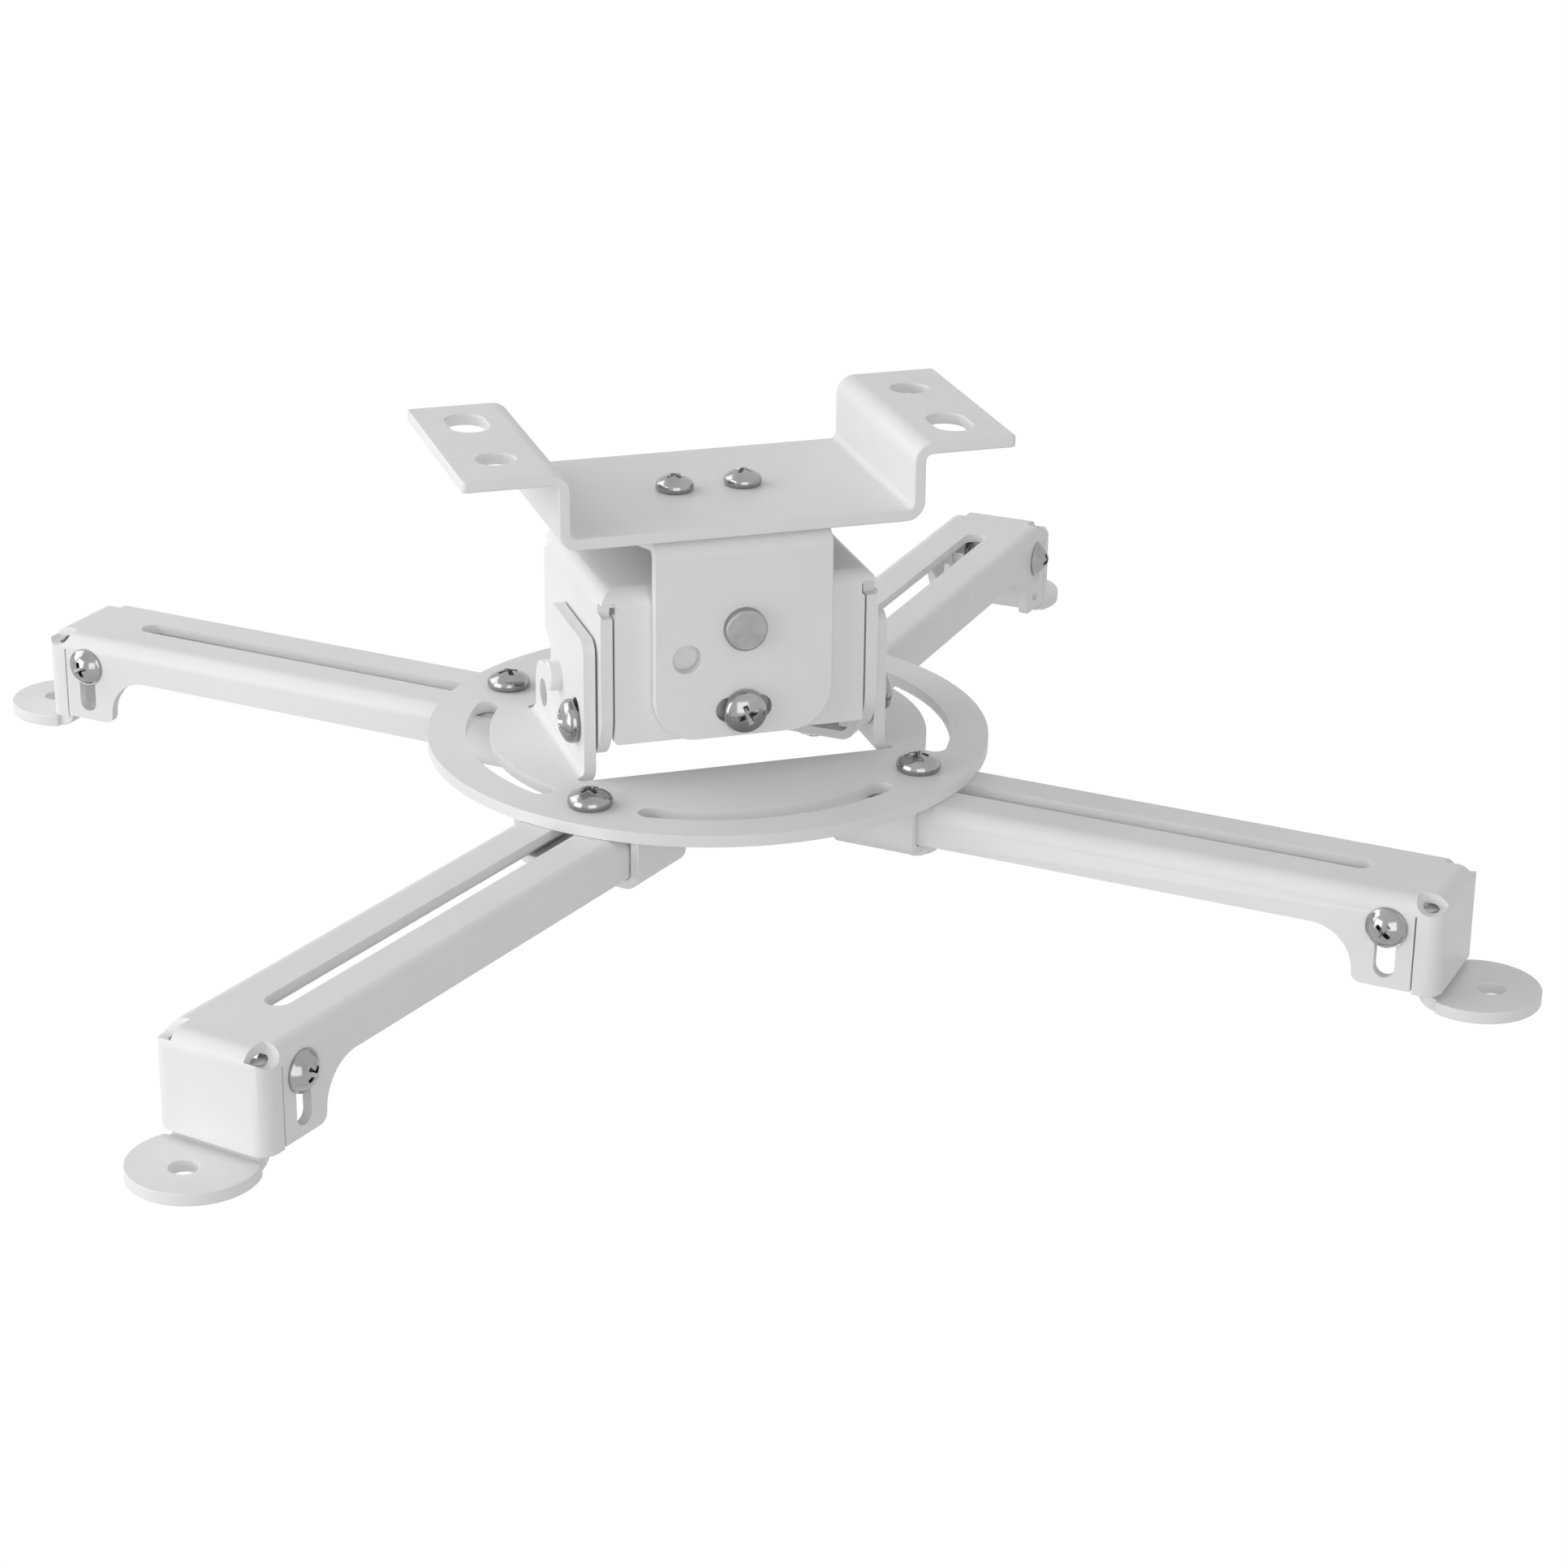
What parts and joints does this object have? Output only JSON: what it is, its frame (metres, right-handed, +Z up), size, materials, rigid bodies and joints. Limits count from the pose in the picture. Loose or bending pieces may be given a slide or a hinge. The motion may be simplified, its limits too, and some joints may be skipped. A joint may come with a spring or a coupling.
{
  "type": "projector ceiling mount",
  "caption": "Ceiling mount for a projector: hat-shaped ceiling bracket, tilting and rolling joint, slotted disc and four sliding arms with height-adjusting feet.",
  "frame": {"origin": "centre of the ceiling bracket's upper face, midway between its two round holes", "axes": "+Z up into the ceiling, +X along the ceiling bracket, -Y to the picture's front"},
  "size_m": [0.2809, 0.2757, 0.0944],
  "materials": {
    "white_paint": "satin powder coat",
    "bright_steel": "bright nickel plate"
  },
  "bodies": {
    "ceiling": {"ceiling_bracket": "white_paint", "plate_screws": "bright_steel", "plate_nuts": "bright_steel", "yoke": "white_paint"},
    "block": {"tilt_rivets": "bright_steel", "tilt_clamp_screws": "bright_steel", "tilt_clamp_nuts": "bright_steel", "tilt_block": "white_paint", "roll_pins": "white_paint", "roll_clamp_screws": "bright_steel", "roll_clamp_nuts": "bright_steel"},
    "disc": {"disc_bracket": "white_paint"},
    "swing_front_left": {"sleeve_front_left": "white_paint", "arm_screw_front_left": "bright_steel", "arm_nut_front_left": "bright_steel"},
    "arm_front_left": {"arm_front_left": "white_paint"},
    "foot_front_left": {"foot_front_left": "white_paint", "foot_screws_front_left": "bright_steel", "foot_nuts_front_left": "bright_steel"},
    "swing_front_right": {"sleeve_front_right": "white_paint", "arm_screw_front_right": "bright_steel", "arm_nut_front_right": "bright_steel"},
    "arm_front_right": {"arm_front_right": "white_paint"},
    "foot_front_right": {"foot_front_right": "white_paint", "foot_screws_front_right": "bright_steel", "foot_nuts_front_right": "bright_steel"},
    "swing_back_left": {"sleeve_back_left": "white_paint", "arm_screw_back_left": "bright_steel", "arm_nut_back_left": "bright_steel"},
    "arm_back_left": {"arm_back_left": "white_paint"},
    "foot_back_left": {"foot_back_left": "white_paint", "foot_screws_back_left": "bright_steel", "foot_nuts_back_left": "bright_steel"},
    "swing_back_right": {"sleeve_back_right": "white_paint", "arm_screw_back_right": "bright_steel", "arm_nut_back_right": "bright_steel"},
    "arm_back_right": {"arm_back_right": "white_paint"},
    "foot_back_right": {"foot_back_right": "white_paint", "foot_screws_back_right": "bright_steel", "foot_nuts_back_right": "bright_steel"}
  },
  "joints": [
    {"name": "tilt", "type": "hinge", "parent": "ceiling", "child": "block", "pos_m": [0, 0, -0.0362], "axis": [0, 1, 0], "range_deg": [-10.5, 10.5]},
    {"name": "roll", "type": "hinge", "parent": "block", "child": "disc", "pos_m": [0, 0, -0.0527], "axis": [1, 0, 0], "range_deg": [-10.5, 10.5]},
    {"name": "swing_front_left", "type": "hinge", "parent": "disc", "child": "swing_front_left", "pos_m": [-0.03535, -0.03535, -0.0704], "axis": [0, 0, 1], "range_deg": [-30, 30]},
    {"name": "slide_front_left", "type": "slide", "parent": "swing_front_left", "child": "arm_front_left", "axis": [-0.749, -0.6626, 0], "range_m": [-0.02205, 0]},
    {"name": "lift_front_left", "type": "slide", "parent": "arm_front_left", "child": "foot_front_left", "axis": [0, 0, 1], "range_m": [-0.0087, 0]},
    {"name": "swing_front_right", "type": "hinge", "parent": "disc", "child": "swing_front_right", "pos_m": [0.03535, -0.03535, -0.0704], "axis": [0, 0, 1], "range_deg": [-30, 30]},
    {"name": "slide_front_right", "type": "slide", "parent": "swing_front_right", "child": "arm_front_right", "axis": [0.7337, -0.6794, 0], "range_m": [-0.01605, 0.006]},
    {"name": "lift_front_right", "type": "slide", "parent": "arm_front_right", "child": "foot_front_right", "axis": [0, 0, 1], "range_m": [-0.0087, 0]},
    {"name": "swing_back_left", "type": "hinge", "parent": "disc", "child": "swing_back_left", "pos_m": [-0.03535, 0.03535, -0.0704], "axis": [0, 0, 1], "range_deg": [-30, 30]},
    {"name": "slide_back_left", "type": "slide", "parent": "swing_back_left", "child": "arm_back_left", "axis": [-0.7254, 0.6884, 0], "range_m": [-0.01455, 0.0075]},
    {"name": "lift_back_left", "type": "slide", "parent": "arm_back_left", "child": "foot_back_left", "axis": [0, 0, 1], "range_m": [-0.0087, 0]},
    {"name": "swing_back_right", "type": "hinge", "parent": "disc", "child": "swing_back_right", "pos_m": [0.03535, 0.03535, -0.0704], "axis": [0, 0, 1], "range_deg": [-30, 30]},
    {"name": "slide_back_right", "type": "slide", "parent": "swing_back_right", "child": "arm_back_right", "axis": [0.6574, 0.7536, 0], "range_m": [-0.02055, 0.0015]},
    {"name": "lift_back_right", "type": "slide", "parent": "arm_back_right", "child": "foot_back_right", "axis": [0, 0, 1], "range_m": [-0.0087, 0]}
  ]
}
